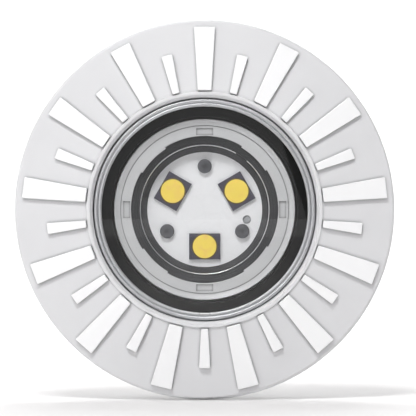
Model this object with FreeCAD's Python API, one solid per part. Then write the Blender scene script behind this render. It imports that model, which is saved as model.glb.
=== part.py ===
"""Underwater pool light: round face trim, twist-in lamp behind a clear lens, and wall ring.

Millimetres. The pieces are drawn about the lamp's axis, which is z here: z = 0 is the
pool wall, +z points into the pool, x is right and y is up. Each piece is turned as it is
saved, so that the finished light looks along -Y with +Z up and its origin is where the
lamp's axis meets the wall.
"""

import FreeCAD, Part

import math
import os

# ------------------------------------------------------------------ driving dimensions

# Clearances
turning_gap = 0.3         # between pieces that turn or slide past each other
seat_gap = 0.1            # round a piece that drops into another and stays there
screw_gap = 0.05          # round a plain screw shank
hole_room = 0.5           # left beyond the end of a screw or stud
overrun = 1.0             # how far a cutter runs past the face it opens

# Edge rounds
crisp_round = 0.3
edge_round = 0.5
rubber_round = 0.8
housing_round = 2.0

# Overall
trim_r = 85.0             # outer radius of the face trim
lens_headroom = 1.3       # between the retaining ring and the lens
driver_rear_room = 4.4    # between the driver's input terminals and the rear wall

# LED board and what sits on it
board_r = 26.8
board_thick = 1.6
pad_thick = 0.5
pad_margin = 1.3          # the pad stops this far inside the board's edge
led_count = 3
led_inset = 10.2          # from the board's edge in to the middle of a LED
led_width = 14.0
led_depth = 11.7
led_thick = 1.5
led_first_angle = 30.0
phosphor_r = 5.35
phosphor_rise = 0.3
phosphor_round = 0.18
led_edge_round = 0.15
board_screw_inset = 7.3   # from the board's edge in to a screw's axis
board_screw_first_angle = 90.0
m3_shank_r = 1.5
m3_head_r = 3.2
m3_head_thick = 2.0
m3_socket_r = 1.0
m3_socket_depth = 1.2
board_screw_length = 6.0
pin_angle = -13.3
pin_r = 1.35
pin_hole_r = 1.9
pin_recess = 0.5          # the pin's end stays this far below the board's face
pin_depth = 3.0           # length of the pin in the heat sink

# Baffle cone, cup and snap ring
baffle_wall = 2.2         # from the board's edge out to the cup
baffle_lap = 0.9          # the cone covers this much of the board's edge
baffle_height = 5.0
baffle_top_wall = 0.8
baffle_foot = 0.3
baffle_round = 0.2
cup_wall = 5.9
cup_land = 0.2            # between the snap ring's groove and the cup's lowest step
cup_tread = 1.1           # width of each step in the cup's mouth
cup_riser = 0.6           # drop of each step
cup_step_round = 0.15
snap_wire_r = 0.5
snap_bite = 0.7           # depth of the snap ring's groove in the cup
snap_opening_deg = 12.0
snap_opening_angle = 55.0

# Retaining ring and the heat sink's spigot that it twists onto
spigot_wall = 1.8
spigot_room = 3.0         # between the spigot's end and the ring's plate
ring_lug_reach = 1.4
ring_lug_deg = 27.0
ring_lug_first_angle = 46.0
ring_lug_count = 4
ring_lug_thick = 1.6
ring_plate_thick = 1.6
ring_skirt_wall = 1.9
ring_cover = 2.0          # the ring's plate laps the cup by this much
ring_band_width = 2.7     # raised band outside the groove
ring_groove_width = 0.35
ring_groove_depth = 0.5
ring_band_rise = 1.1      # outer band's rise above the plate
ring_band_rim = 0.35      # flat left at the top of the band
ring_band_foot = 0.8      # flat left beside the groove
ring_band_foot_rise = 0.12
ring_band_hollow = 3.0    # radius of the band's hollow
ring_slot_width = 7.6
ring_slot_depth = 0.9
ring_slot_wall = 0.4      # rim left between a slot and the ring's mouth
ring_slot_length = 3.1
ring_tab_reach = 0.7
ring_stop_deg = 3.0
stop_play_deg = 1.5       # turn left between a lug and its stop

# Heat sink
heat_sink_thick = 5.0
boss_height = 10.0
boss_embed = 0.5          # the bosses reach this far into the drum's wall
boss_first_angle = 90.0
boss_count = 3
sink_screw_head_r = 3.0
sink_screw_cover = 0.5    # the cup covers the screw heads by this much
sink_screw_length = 11.0

# Lamp housing
housing_gap = 1.0         # round the retaining ring
housing_wall = 2.5
housing_flange_width = 4.75
housing_flange_thick = 4.1
shoulder_thick = 4.0
drum_wall = 2.5
drum_step = 5.5           # the rear drum's bore is this much smaller than the front bore
rear_wall = 2.5
fin_count = 24
fin_reach = 5.0
fin_thick = 1.8
fin_root = 0.5
fin_tip_round = 0.7
boss_floor = 1.0          # left under each boss's screw hole

# Lens, gaskets and bezel
lens_gasket_thick = 1.4
lens_edge_thick = 3.6
lens_crown = 1.4
bezel_sheet = 0.7
bezel_face_width = 3.55
bezel_lip_width = 2.95
bezel_inner_hump = 1.15
bezel_groove = 0.75
bezel_outer_hump = 1.35
bezel_edge_drop = 0.45
bezel_groove_set_in = 0.2 # groove's place inside the middle of the face
seat_gasket_thick = 2.3
key_width = 4.8
key_reach = 0.7
key_thick = 0.75
key_set_back = 0.1        # from the bezel's mouth out to the key

# Lamp bayonet
lamp_lug_reach = 3.9
lamp_lug_deg = 22.0
lamp_lug_thick = 3.8
lamp_lug_count = 3
lamp_lug_first_angle = 90.0
lamp_turn_deg = 40.0      # turn that frees the lamp
ledge_deg = 44.0
ledge_thick = 3.9
ledge_gap = 1.0           # between a ledge and the housing
stop_deg = 4.5
stop_thick = 5.6

# Wall ring and its gasket
wall_gasket_thick = 1.5
wall_gasket_margin = 0.5  # inside the flange's edge
collar_to_gasket = 1.5    # room for the conduit's rim
wall_flange_thick = 2.7
seat_depth = 4.0          # from the wall plane back to the seat of the lamp's gasket
lug_to_collar = 0.7
collar_wall = 3.2
collar_length = 16.0
collar_round = 0.6
wall_bore_gap = 0.45      # round the bezel
wall_screw_hole_r = 2.5
wall_screw_count = 4

# Face trim
trim_bore_gap = 0.35      # round the bezel
trim_shell = 2.2
trim_stand = 0.8          # the cone's inner end stands this far in front of the bezel
trim_lug_gap = 0.5        # between the wall ring's lugs and the trim's underside
trim_wall_gap = 0.4       # under the skirt
trim_rim_round = 1.6
lip_width = 2.7           # bore wall out to the foot of the ribs
lip_chamfer = 1.3
lip_chamfer_height = 2.1
lip_rise = 0.9            # lip above the cone's inner end
rib_pairs = 13
rib_height = 1.8
rib_embed = 1.0
rib_edge_round = 0.35
rib_corner_round = 0.5
long_rib_margin = 3.6     # from a long rib's outer end to the trim's edge
long_rib_inner_width = 6.1
long_rib_outer_width = 9.55
short_rib_margin = 14.5
short_rib_inner_width = 3.14
short_rib_outer_width = 5.0
inner_skirt_wall = 2.6
web_thick = 1.5
web_clear = 0.4

# Trim bayonet
trim_hook_count = 4
trim_hook_first_angle = 45.0
trim_hook_deg = 14.0
trim_hook_wall = 1.3
trim_hook_foot = 1.4
trim_hook_to_skirt = 2.6
trim_lug_reach = 2.3
trim_lug_deg = 16.0
trim_stop_deg = 3.0
trim_lug_set_back = 0.6   # lug's front face behind the flange's front face

# Driver
standoff_inset = 6.0      # from the driver board's edge in to a standoff's axis
standoff_first_angle = 30.0
standoff_count = 3
standoff_flats = 6.0
driver_board_gap = 1.0
driver_board_thick = 1.6
driver_screw_length = 6.0
standoff_stud_length = 3.5
choke_inset = 17.0        # from the driver board's edge in to the choke's middle
choke_r = 8.0
choke_hole_r = 3.5
choke_thick = 6.5
choke_round = 1.2
capacitor_inset = 15.0
capacitor_angles = (-5.0, -40.0)
capacitor_r = 4.0
capacitor_height = 10.0
capacitor_room = 4.0      # between a capacitor and the heat sink
rectifier_inset = 18.0
rectifier_size = (8.0, 4.0, 7.0)
chip_inset = 20.0
chip_size = (6.0, 5.0, 1.6)
terminal_size = (10.0, 8.0, 8.0)
terminal_screw_r = 1.6
terminal_screw_pitch = 5.0
terminal_screw_length = 2.0
terminal_screw_sunk = 1.0 # below the block's face
terminal_inset = 13.0
socket_size = (9.0, 6.0, 4.0)
socket_gap = 0.6          # round the socket's corners in the heat sink
lead_r = 0.7
lead_pitch = 5.0

# Cable gland
cable_r = 4.0             # radius of the cable that the seal grips
cable_play = 0.6
gland_thread_r = 10.0
gland_flange_thick = 5.0
gland_tube_length = 11.0
gland_tube_wall = 2.5
gland_stub_length = 6.0   # inside the rear wall
gland_seal_wall = 2.9
gland_seal_length = 12.0
gland_seal_proud = 2.0
gland_washer_thick = 1.0
gland_washer_play = 2.2   # round the washer inside the nut
gland_nut_wall = 2.2
gland_nut_end = 4.5
gland_nut_mouth = 0.2     # wider than the cable's way
gland_nut_crown = (3.0, 4.0)
gland_nut_chamfer = (1.2, 1.0)
gland_nut_crown_round = 1.5
o_ring_thick = 1.5
o_ring_width = 1.6
o_ring_cover = 0.4        # the gland's flange reaches this far past the O-ring
locknut_wall = 2.9
locknut_thick = 3.8

# ------------------------------------------------------------------ worked-out places

# Along the axis, from the wall forwards
wall_flange_front = wall_gasket_thick + wall_flange_thick
seat_gasket_back = turning_gap - seat_depth
seat_gasket_front = seat_gasket_back + seat_gasket_thick
bezel_lip_back = seat_gasket_front + seat_gap
bezel_lip_front = bezel_lip_back + bezel_sheet
housing_flange_back = bezel_lip_front + seat_gap
housing_front = housing_flange_back + housing_flange_thick
lens_back = housing_front + lens_gasket_thick
lens_front = lens_back + lens_edge_thick

ring_plate_front = lens_back - lens_headroom - ring_band_rise
ring_plate_back = ring_plate_front - ring_plate_thick
cup_front = ring_plate_back - turning_gap
snap_groove_front = cup_front - cup_riser * 2 - cup_land
snap_middle = snap_groove_front - seat_gap - snap_wire_r
snap_groove_back = snap_middle - snap_wire_r - seat_gap
baffle_front = snap_groove_back
board_front = baffle_front - baffle_height
board_back = board_front - board_thick
heat_sink_front = board_back - pad_thick
heat_sink_back = heat_sink_front - heat_sink_thick
spigot_front = ring_plate_back - spigot_room
spigot_lug_back = spigot_front - ring_lug_thick
ring_lug_front = spigot_lug_back - turning_gap
ring_lug_back = ring_lug_front - ring_lug_thick

# Outwards from the axis
led_circle_r = board_r - led_inset
board_screw_circle_r = board_r - board_screw_inset
heat_sink_hole_r = math.hypot(socket_size[0], socket_size[1]) / 2 + socket_gap
baffle_r = board_r + baffle_wall
cup_bore_r = baffle_r + seat_gap
cup_r = cup_bore_r + cup_wall
spigot_bore_r = cup_r + seat_gap
spigot_r = spigot_bore_r + spigot_wall
ring_lug_inner_r = spigot_r + turning_gap
spigot_lug_r = spigot_r + ring_lug_reach
ring_skirt_bore_r = spigot_lug_r + turning_gap
ring_r = ring_skirt_bore_r + ring_skirt_wall
ring_bore_r = cup_r - ring_cover
ring_groove_r = ring_r - ring_band_width - ring_groove_width
housing_bore_r = ring_r + housing_gap
housing_r = housing_bore_r + housing_wall
housing_flange_r = housing_r + housing_flange_width
drum_bore_r = housing_bore_r - drum_step
drum_r = drum_bore_r + drum_wall
boss_circle_r = cup_r - sink_screw_cover - sink_screw_head_r
boss_r = drum_bore_r + boss_embed - boss_circle_r
bezel_bore_r = housing_flange_r + seat_gap
bezel_r = bezel_bore_r + bezel_sheet
bezel_opening_r = bezel_r - bezel_face_width
lens_r = bezel_bore_r - seat_gap * 2
lamp_lug_r = housing_r + lamp_lug_reach
collar_bore_r = lamp_lug_r + lug_to_collar
collar_r = collar_bore_r + collar_wall
wall_gasket_inner_r = collar_r + collar_to_gasket
wall_bore_r = bezel_r + wall_bore_gap
trim_bore_r = bezel_r + trim_bore_gap

# Inwards from the trim's edge
skirt_bore_r = trim_r - trim_shell
hook_r = skirt_bore_r - trim_hook_to_skirt
hook_wall_bore_r = hook_r - trim_hook_wall
trim_lug_r = hook_wall_bore_r - turning_gap * 2
wall_flange_r = trim_lug_r - trim_lug_reach
wall_gasket_outer_r = wall_flange_r - wall_gasket_margin
wall_screw_circle_r = (wall_gasket_inner_r + wall_gasket_outer_r) / 2

# Behind the heat sink
driver_board_front = heat_sink_back - capacitor_room - capacitor_height
driver_board_back = driver_board_front - driver_board_thick
driver_board_r = drum_bore_r - driver_board_gap
standoff_circle_r = driver_board_r - standoff_inset
housing_rear_inside = driver_board_back - terminal_size[2] - driver_rear_room
housing_rear = housing_rear_inside - rear_wall
gland_flange_front = housing_rear - o_ring_thick
gland_flange_back = gland_flange_front - gland_flange_thick
gland_tube_back = gland_flange_back - gland_tube_length
gland_seal_back = gland_tube_back - gland_seal_proud
gland_seal_front = gland_seal_back + gland_seal_length
gland_washer_front = gland_seal_back - turning_gap
gland_washer_back = gland_washer_front - gland_washer_thick
gland_nut_seat = gland_washer_back - turning_gap
gland_nut_back = gland_nut_seat - gland_nut_end
cable_way_r = cable_r + cable_play
gland_tube_bore_r = cable_r + gland_seal_wall + seat_gap
gland_tube_r = gland_tube_bore_r + gland_tube_wall
gland_nut_bore_r = gland_tube_r + turning_gap
gland_washer_r = gland_nut_bore_r - gland_washer_play
gland_nut_flats = (gland_nut_bore_r + gland_nut_wall) * 2
gland_flange_flats = (gland_thread_r + o_ring_width + seat_gap + o_ring_cover) * 2
locknut_flats = (gland_thread_r + seat_gap + locknut_wall) * 2

# Lens surface
lens_ball_r = (lens_r ** 2 + lens_crown ** 2) / (2 * lens_crown)


def lens_rise(radius):
    """How far the lens's curved front stands above its edge, at this radius."""
    return math.sqrt(lens_ball_r ** 2 - radius ** 2) - (lens_ball_r - lens_crown)


bezel_web_back = lens_front + lens_rise(bezel_opening_r) + seat_gap
bezel_front = bezel_web_back + bezel_outer_hump
trim_cone_inner = bezel_front + trim_stand
trim_lip_front = trim_cone_inner + lip_rise
rib_inner_r = trim_bore_r + lip_width + turning_gap
trim_lug_back = trim_wall_gap + trim_hook_foot + turning_gap
trim_lug_front = wall_flange_front - trim_lug_set_back
cone_at_lugs = trim_lug_front + trim_lug_gap + trim_shell
cone_fall = (trim_cone_inner - cone_at_lugs) / (trim_lug_r - rib_inner_r)


def cone_height(radius):
    """Height of the trim's sloping front above the wall, at this radius."""
    return trim_cone_inner - cone_fall * (radius - rib_inner_r)


# ------------------------------------------------------------------ shape helpers

AXIS = FreeCAD.Vector(0, 0, 1)
ORIGIN = FreeCAD.Vector(0, 0, 0)


def section_edges(corners):
    """Edges of a closed outline in the (radius, height) plane.

    A corner is (radius, height) where it is sharp, or (radius, height, round).
    """
    points = [FreeCAD.Vector(corner[0], 0, corner[1]) for corner in corners]
    spans = []
    for i, corner in enumerate(corners):
        here = points[i]
        if len(corner) == 2:
            spans.append((here, None, here))
            continue
        back = (points[i - 1] - here).normalize()
        ahead = (points[(i + 1) % len(points)] - here).normalize()
        half_turn = back.getAngle(ahead) / 2
        reach = corner[2] / math.tan(half_turn)
        middle = (back + ahead).normalize() * (corner[2] / math.sin(half_turn) - corner[2])
        spans.append((here + back * reach, here + middle, here + ahead * reach))
    edges = []
    for i, (start, middle, end) in enumerate(spans):
        if middle:
            edges.append(Part.Arc(start, middle, end).toShape())
        following = spans[(i + 1) % len(spans)][0]
        edges.append(Part.LineSegment(end, following).toShape())
    return edges


def turned(edges, start_deg=0.0, sweep_deg=360.0):
    """Solid made by turning closed edges about the axis."""
    face = Part.Face(Part.Wire(edges))
    solid = face.revolve(ORIGIN, AXIS, sweep_deg)
    solid.rotate(ORIGIN, AXIS, start_deg)
    return solid


def revolved(*corners):
    """Whole ring or disc from its section's corners."""
    return turned(section_edges(corners))


def sector(inner_r, outer_r, back, front, middle_deg, width_deg):
    """Part of a flat ring, centred on an angle."""
    corners = [(inner_r, back), (outer_r, back), (outer_r, front), (inner_r, front)]
    return turned(section_edges(corners), middle_deg - width_deg / 2, width_deg)


def rod(radius, back, front, x=0.0, y=0.0):
    """Cylinder along the axis, between two heights."""
    return Part.makeCylinder(radius, front - back, FreeCAD.Vector(x, y, back))


def block(width, depth, back, front, x=0.0, y=0.0):
    """Box centred on (x, y), between two heights."""
    corner = FreeCAD.Vector(x - width / 2, y - depth / 2, back)
    return Part.makeBox(width, depth, front - back, corner)


def hexagon(flats, back, front):
    """Hexagonal bar along the axis."""
    corner_r = flats / math.sqrt(3)
    turns = [math.radians(60 * i) for i in range(7)]
    points = [FreeCAD.Vector(corner_r * math.cos(t), corner_r * math.sin(t), back) for t in turns]
    return Part.Face(Part.makePolygon(points)).extrude(AXIS * (front - back))


def placed(shape, radius, angle_deg):
    """Copy of a shape moved out to a radius and turned to an angle."""
    copy = shape.copy()
    copy.translate(FreeCAD.Vector(radius, 0, 0))
    copy.rotate(ORIGIN, AXIS, angle_deg)
    return copy


def angles(first_deg, count):
    """Equal angles round the circle."""
    return [first_deg + 360.0 * i / count for i in range(count)]


def spread(shape, radius, first_deg, count):
    """Equal copies of a shape round a circle."""
    return [placed(shape, radius, angle) for angle in angles(first_deg, count)]


def save(name, *solids):
    """Turns the solids into the finished light's frame and writes one STEP file."""
    shape = solids[0] if len(solids) == 1 else Part.makeCompound(list(solids))
    shape = shape.copy()
    shape.rotate(ORIGIN, FreeCAD.Vector(1, 0, 0), 90)
    if not shape.isValid():
        raise ValueError(name + " is not a valid solid")
    shape.exportStep("parts/" + name + ".step")
    print(f"{name}: {len(shape.Solids)} solid(s), {shape.Volume:.1f} mm3")


# ------------------------------------------------------------------ wall mount

def wall_screw_holes(back, front):
    hole = rod(wall_screw_hole_r, back, front)
    return spread(hole, wall_screw_circle_r, 0, wall_screw_count)


def make_wall_flange():
    """Flat ring screwed to the wall, with lugs and stops for the trim's hooks."""
    flange = revolved(
        (wall_bore_r, wall_flange_front, crisp_round),
        (wall_flange_r, wall_flange_front, edge_round),
        (wall_flange_r, wall_gasket_thick),
        (wall_bore_r, wall_gasket_thick),
    )
    added = []
    embed_r = wall_flange_r - trim_lug_reach
    for angle in angles(trim_hook_first_angle, trim_hook_count):
        stop = angle - trim_hook_deg / 2 - stop_play_deg - trim_stop_deg / 2
        added.append(sector(embed_r, trim_lug_r, trim_lug_back, trim_lug_front, angle, trim_lug_deg))
        added.append(sector(embed_r, trim_lug_r, wall_gasket_thick, trim_lug_front, stop, trim_stop_deg))
    flange = flange.fuse(added).removeSplitter()
    return flange.cut(wall_screw_holes(wall_gasket_thick - overrun, wall_flange_front + overrun))


def make_wall_collar():
    """Tube welded behind the flange, with the lamp's seat, ledges and stops in its bore."""
    collar = revolved(
        (wall_bore_r, wall_gasket_thick),
        (collar_r, wall_gasket_thick),
        (collar_r, -collar_length, collar_round),
        (collar_bore_r, -collar_length, collar_round),
        (collar_bore_r, -seat_depth),
        (wall_bore_r, -seat_depth),
    )
    added = []
    ledge_back = -seat_depth - ledge_thick
    stop_back = ledge_back - stop_thick
    ledge_r = housing_r + ledge_gap
    embed_r = collar_bore_r + collar_wall / 2
    for angle in angles(lamp_lug_first_angle, lamp_lug_count):
        locked = angle - lamp_lug_deg / 2 - stop_play_deg - stop_deg / 2
        freed = angle + lamp_turn_deg + lamp_lug_deg / 2 + stop_play_deg + stop_deg / 2
        added.append(sector(ledge_r, embed_r, ledge_back, -seat_depth, angle, ledge_deg))
        added.append(sector(ledge_r, embed_r, stop_back, ledge_back, locked, stop_deg))
        added.append(sector(ledge_r, embed_r, stop_back, -seat_depth, freed, stop_deg))
    return collar.fuse(added).removeSplitter()


def make_wall_gasket():
    gasket = revolved(
        (wall_gasket_inner_r, 0),
        (wall_gasket_outer_r, 0),
        (wall_gasket_outer_r, wall_gasket_thick),
        (wall_gasket_inner_r, wall_gasket_thick),
    )
    return gasket.cut(wall_screw_holes(-overrun, wall_gasket_thick + overrun))


# ------------------------------------------------------------------ face trim

def trim_shell_ring():
    """The trim without its ribs, webs and hooks."""
    under = trim_shell / math.cos(math.atan(cone_fall))
    inner_skirt_r = trim_bore_r + inner_skirt_wall
    skirt_back = wall_flange_front + turning_gap
    chamfer_r = trim_bore_r + lip_chamfer
    return revolved(
        (trim_bore_r, skirt_back, crisp_round),
        (trim_bore_r, trim_lip_front - lip_chamfer_height, crisp_round),
        (chamfer_r, trim_lip_front, crisp_round),
        (trim_bore_r + lip_width, trim_lip_front, edge_round),
        (rib_inner_r, trim_cone_inner, edge_round),
        (trim_r, cone_height(trim_r), trim_rim_round),
        (trim_r, trim_wall_gap, edge_round),
        (skirt_bore_r, trim_wall_gap, edge_round),
        (skirt_bore_r, cone_height(skirt_bore_r) - under),
        (inner_skirt_r, cone_height(inner_skirt_r) - under),
        (inner_skirt_r, skirt_back, crisp_round),
    )


def rib(outer_r, inner_width, outer_width):
    """One flat-topped rib along +x, lying on the sloping front."""
    slope = math.degrees(math.atan(cone_fall))
    length = (outer_r - rib_inner_r) / math.cos(math.radians(slope))
    corners = [
        FreeCAD.Vector(0, -inner_width / 2, -rib_embed),
        FreeCAD.Vector(length, -outer_width / 2, -rib_embed),
        FreeCAD.Vector(length, outer_width / 2, -rib_embed),
        FreeCAD.Vector(0, inner_width / 2, -rib_embed),
    ]
    face = Part.Face(Part.makePolygon(corners + corners[:1]))
    body = face.extrude(AXIS * (rib_embed + rib_height))
    upright = [edge for edge in body.Edges if abs(edge.tangentAt(edge.FirstParameter).z) > 0.9]
    body = body.makeFillet(rib_corner_round, upright)
    top = [edge for edge in body.Edges if edge.BoundBox.ZMin > rib_height - 0.01]
    body = body.makeFillet(rib_edge_round, top)
    body.rotate(ORIGIN, FreeCAD.Vector(0, 1, 0), slope)
    body.translate(FreeCAD.Vector(rib_inner_r, 0, trim_cone_inner))
    return body


def trim_webs():
    """Stiffening webs under the sloping front, one behind each long rib."""
    inner_r = trim_bore_r + inner_skirt_wall / 2
    outer_r = wall_flange_r - trim_lug_reach
    back = wall_flange_front + turning_gap + web_clear
    corners = [
        FreeCAD.Vector(inner_r, -web_thick / 2, back),
        FreeCAD.Vector(outer_r, -web_thick / 2, back),
        FreeCAD.Vector(outer_r, -web_thick / 2, cone_height(outer_r) - trim_shell / 2),
        FreeCAD.Vector(inner_r, -web_thick / 2, cone_height(inner_r) - trim_shell / 2),
    ]
    web = Part.Face(Part.makePolygon(corners + corners[:1])).extrude(FreeCAD.Vector(0, web_thick, 0))
    return spread(web, 0, 90, rib_pairs)


def trim_hooks():
    """Feet that pass behind the wall ring's lugs."""
    hooks = []
    foot_front = trim_wall_gap + trim_hook_foot
    foot_r = wall_flange_r + trim_wall_gap
    for angle in angles(trim_hook_first_angle, trim_hook_count):
        hooks.append(sector(foot_r, hook_r, trim_wall_gap, foot_front, angle, trim_hook_deg))
        wall_front = cone_height(hook_r) - trim_shell / 2
        hooks.append(sector(hook_wall_bore_r, hook_r, trim_wall_gap, wall_front, angle, trim_hook_deg))
    return hooks


def make_face_trim():
    long_rib = rib(trim_r - long_rib_margin, long_rib_inner_width, long_rib_outer_width)
    short_rib = rib(trim_r - short_rib_margin, short_rib_inner_width, short_rib_outer_width)
    pitch = 360.0 / rib_pairs
    ribs = spread(long_rib, 0, 90, rib_pairs) + spread(short_rib, 0, 90 + pitch / 2, rib_pairs)
    return trim_shell_ring().fuse(ribs + trim_webs() + trim_hooks())


# ------------------------------------------------------------------ lens and bezel

def make_lens_bezel():
    """Crimped stainless ring: a double-beaded face, a skirt and a lip rolled in behind."""
    bead_width = bezel_face_width / 2
    lip_r = bezel_r - bezel_lip_width
    groove_r = bezel_opening_r + bead_width - bezel_groove_set_in
    mouth = FreeCAD.Vector(bezel_opening_r, 0, bezel_web_back + bezel_sheet)
    groove = FreeCAD.Vector(groove_r, 0, bezel_web_back + bezel_groove)
    edge = FreeCAD.Vector(bezel_r, 0, bezel_web_back + bezel_edge_drop)
    inner_top = FreeCAD.Vector((bezel_opening_r + groove_r) / 2, 0, bezel_web_back + bezel_inner_hump)
    outer_top = FreeCAD.Vector((groove_r + bezel_r) / 2, 0, bezel_web_back + bezel_outer_hump)
    straight = [
        edge,
        FreeCAD.Vector(bezel_r, 0, bezel_lip_back),
        FreeCAD.Vector(lip_r, 0, bezel_lip_back),
        FreeCAD.Vector(lip_r, 0, bezel_lip_front),
        FreeCAD.Vector(bezel_bore_r, 0, bezel_lip_front),
        FreeCAD.Vector(bezel_bore_r, 0, bezel_web_back),
        FreeCAD.Vector(bezel_opening_r, 0, bezel_web_back),
        mouth,
    ]
    edges = [Part.Arc(mouth, inner_top, groove).toShape(), Part.Arc(groove, outer_top, edge).toShape()]
    edges += [Part.LineSegment(a, b).toShape() for a, b in zip(straight, straight[1:])]
    notch_depth = key_reach * 2 + seat_gap
    notch_middle = bezel_opening_r + key_set_back + key_reach + seat_gap - notch_depth / 2
    notch = block(key_width + seat_gap * 2, notch_depth, lens_front, bezel_front + overrun, y=-notch_middle)
    return turned(edges).cut(notch)


def make_index_key():
    """Small white key in the bezel's bottom notch that shows which way up the lamp goes."""
    back = lens_front + lens_rise(bezel_opening_r - key_reach) + seat_gap / 2
    middle = bezel_opening_r + key_set_back + key_reach / 2
    return block(key_width, key_reach, back, back + key_thick, y=-middle)


def make_lens():
    edge_front = FreeCAD.Vector(lens_r, 0, lens_front)
    crown = FreeCAD.Vector(0, 0, lens_front + lens_crown)
    half_r = lens_r / 2
    half_way = FreeCAD.Vector(half_r, 0, lens_front + lens_rise(half_r))
    edges = [
        Part.LineSegment(FreeCAD.Vector(0, 0, lens_back), FreeCAD.Vector(lens_r, 0, lens_back)).toShape(),
        Part.LineSegment(FreeCAD.Vector(lens_r, 0, lens_back), edge_front).toShape(),
        Part.Arc(edge_front, half_way, crown).toShape(),
        Part.LineSegment(crown, FreeCAD.Vector(0, 0, lens_back)).toShape(),
    ]
    return turned(edges)


def make_lens_gasket():
    inner_r = housing_bore_r + seat_gap * 2
    outer_r = housing_flange_r - seat_gap
    return revolved(
        (inner_r, housing_front, edge_round),
        (outer_r, housing_front),
        (outer_r, lens_back),
        (inner_r, lens_back, edge_round),
    )


def make_seat_gasket():
    inner_r = housing_r + seat_gap * 2
    outer_r = bezel_r - seat_gap * 2
    return revolved(
        (inner_r, seat_gasket_back),
        (outer_r, seat_gasket_back, rubber_round),
        (outer_r, seat_gasket_front, rubber_round),
        (inner_r, seat_gasket_front),
    )


# ------------------------------------------------------------------ lamp housing

def make_lamp_housing():
    shoulder_back = heat_sink_back - shoulder_thick
    body = revolved(
        (housing_bore_r, housing_front),
        (housing_flange_r, housing_front, crisp_round),
        (housing_flange_r, housing_flange_back, crisp_round),
        (housing_r, housing_flange_back),
        (housing_r, shoulder_back, housing_round),
        (drum_r, shoulder_back),
        (drum_r, housing_rear, housing_round),
        (gland_thread_r + seat_gap, housing_rear),
        (gland_thread_r + seat_gap, housing_rear_inside),
        (drum_bore_r, housing_rear_inside, housing_round / 2),
        (drum_bore_r, heat_sink_back),
        (housing_bore_r, heat_sink_back),
    )
    lug_front = -seat_depth - ledge_thick - turning_gap
    lug_back = lug_front - lamp_lug_thick
    lug_root_r = housing_r - housing_wall / 2
    added = []
    for angle in angles(lamp_lug_first_angle, lamp_lug_count):
        added.append(sector(lug_root_r, lamp_lug_r, lug_back, lug_front, angle, lamp_lug_deg))
    fin_width = fin_reach + fin_root
    fin_front = shoulder_back + shoulder_thick / 2
    fin = block(fin_width, fin_thick, housing_rear + rear_wall, fin_front)
    tips = [edge for edge in fin.Edges if edge.BoundBox.XMin > 0.1 and edge.BoundBox.ZLength > 1]
    fin = fin.makeFillet(fin_tip_round, tips)
    added += spread(fin, drum_r + fin_reach - fin_width / 2, 0, fin_count)
    boss = placed(rod(boss_r, heat_sink_back - boss_height, heat_sink_back), boss_circle_r, boss_first_angle)
    boss = boss.common(rod(drum_r, housing_rear, heat_sink_back))
    added += spread(boss, 0, 0, boss_count)
    body = body.fuse(added).removeSplitter()
    hole_back = heat_sink_back - boss_height + boss_floor
    hole = rod(m3_shank_r + screw_gap, hole_back, heat_sink_back + overrun)
    return body.cut(spread(hole, boss_circle_r, boss_first_angle, boss_count))


# ------------------------------------------------------------------ light engine

def countersunk_screw(front, length):
    """M3 screw with a flat head flush with the face at this height."""
    cone = sink_screw_head_r - m3_shank_r
    screw = revolved(
        (0, front),
        (sink_screw_head_r, front),
        (m3_shank_r, front - cone),
        (m3_shank_r, front - length),
        (0, front - length),
    )
    return screw.cut(hexagon(m3_socket_r * 2, front - m3_socket_depth, front + overrun))


def pan_screw(seat, length, up=1):
    """M3 screw whose round head stands on a face; up is -1 for a head that points back."""
    top = m3_head_thick
    screw = revolved(
        (0, top),
        (m3_head_r, top, edge_round),
        (m3_head_r, 0),
        (m3_shank_r, 0),
        (m3_shank_r, -length),
        (0, -length),
    )
    screw = screw.cut(hexagon(m3_socket_r * 2, top - m3_socket_depth, top + overrun))
    if up < 0:
        screw.rotate(ORIGIN, FreeCAD.Vector(1, 0, 0), 180)
    screw.translate(FreeCAD.Vector(0, 0, seat))
    return screw


def make_heat_sink():
    plate_r = housing_bore_r - turning_gap
    sink = revolved(
        (heat_sink_hole_r, heat_sink_front),
        (spigot_bore_r, heat_sink_front),
        (spigot_bore_r, spigot_front),
        (spigot_r, spigot_front),
        (spigot_r, heat_sink_front),
        (plate_r, heat_sink_front, edge_round),
        (plate_r, heat_sink_back),
        (heat_sink_hole_r, heat_sink_back),
    )
    added = []
    root_r = spigot_bore_r + spigot_wall / 2
    for angle in angles(ring_lug_first_angle, ring_lug_count):
        stop = angle - ring_lug_deg / 2 - stop_play_deg - ring_stop_deg / 2
        added.append(sector(root_r, spigot_lug_r, spigot_lug_back, spigot_front, angle, ring_lug_deg))
        added.append(sector(root_r, spigot_lug_r, ring_lug_back, spigot_front, stop, ring_stop_deg))
    sink = sink.fuse(added).removeSplitter()
    cuts = []
    shank_end = board_front - board_screw_length - hole_room
    shank = rod(m3_shank_r + screw_gap, shank_end, heat_sink_front + overrun)
    cuts += spread(shank, board_screw_circle_r, board_screw_first_angle, led_count)
    stud_end = heat_sink_back + standoff_stud_length + hole_room
    stud = rod(m3_shank_r + screw_gap, heat_sink_back - overrun, stud_end)
    cuts += spread(stud, standoff_circle_r, standoff_first_angle, standoff_count)
    pin_hole = rod(pin_r + screw_gap, heat_sink_front - pin_depth, heat_sink_front + overrun)
    cuts.append(placed(pin_hole, board_screw_circle_r, pin_angle))
    cone = sink_screw_head_r - m3_shank_r
    countersink = revolved(
        (0, heat_sink_front + overrun),
        (sink_screw_head_r + screw_gap * 2, heat_sink_front + overrun),
        (sink_screw_head_r + screw_gap * 2, heat_sink_front),
        (m3_shank_r + screw_gap * 2, heat_sink_front - cone),
        (m3_shank_r + screw_gap * 2, heat_sink_back - overrun),
        (0, heat_sink_back - overrun),
    )
    cuts += spread(countersink, boss_circle_r, boss_first_angle, boss_count)
    return sink.cut(cuts)


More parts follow.
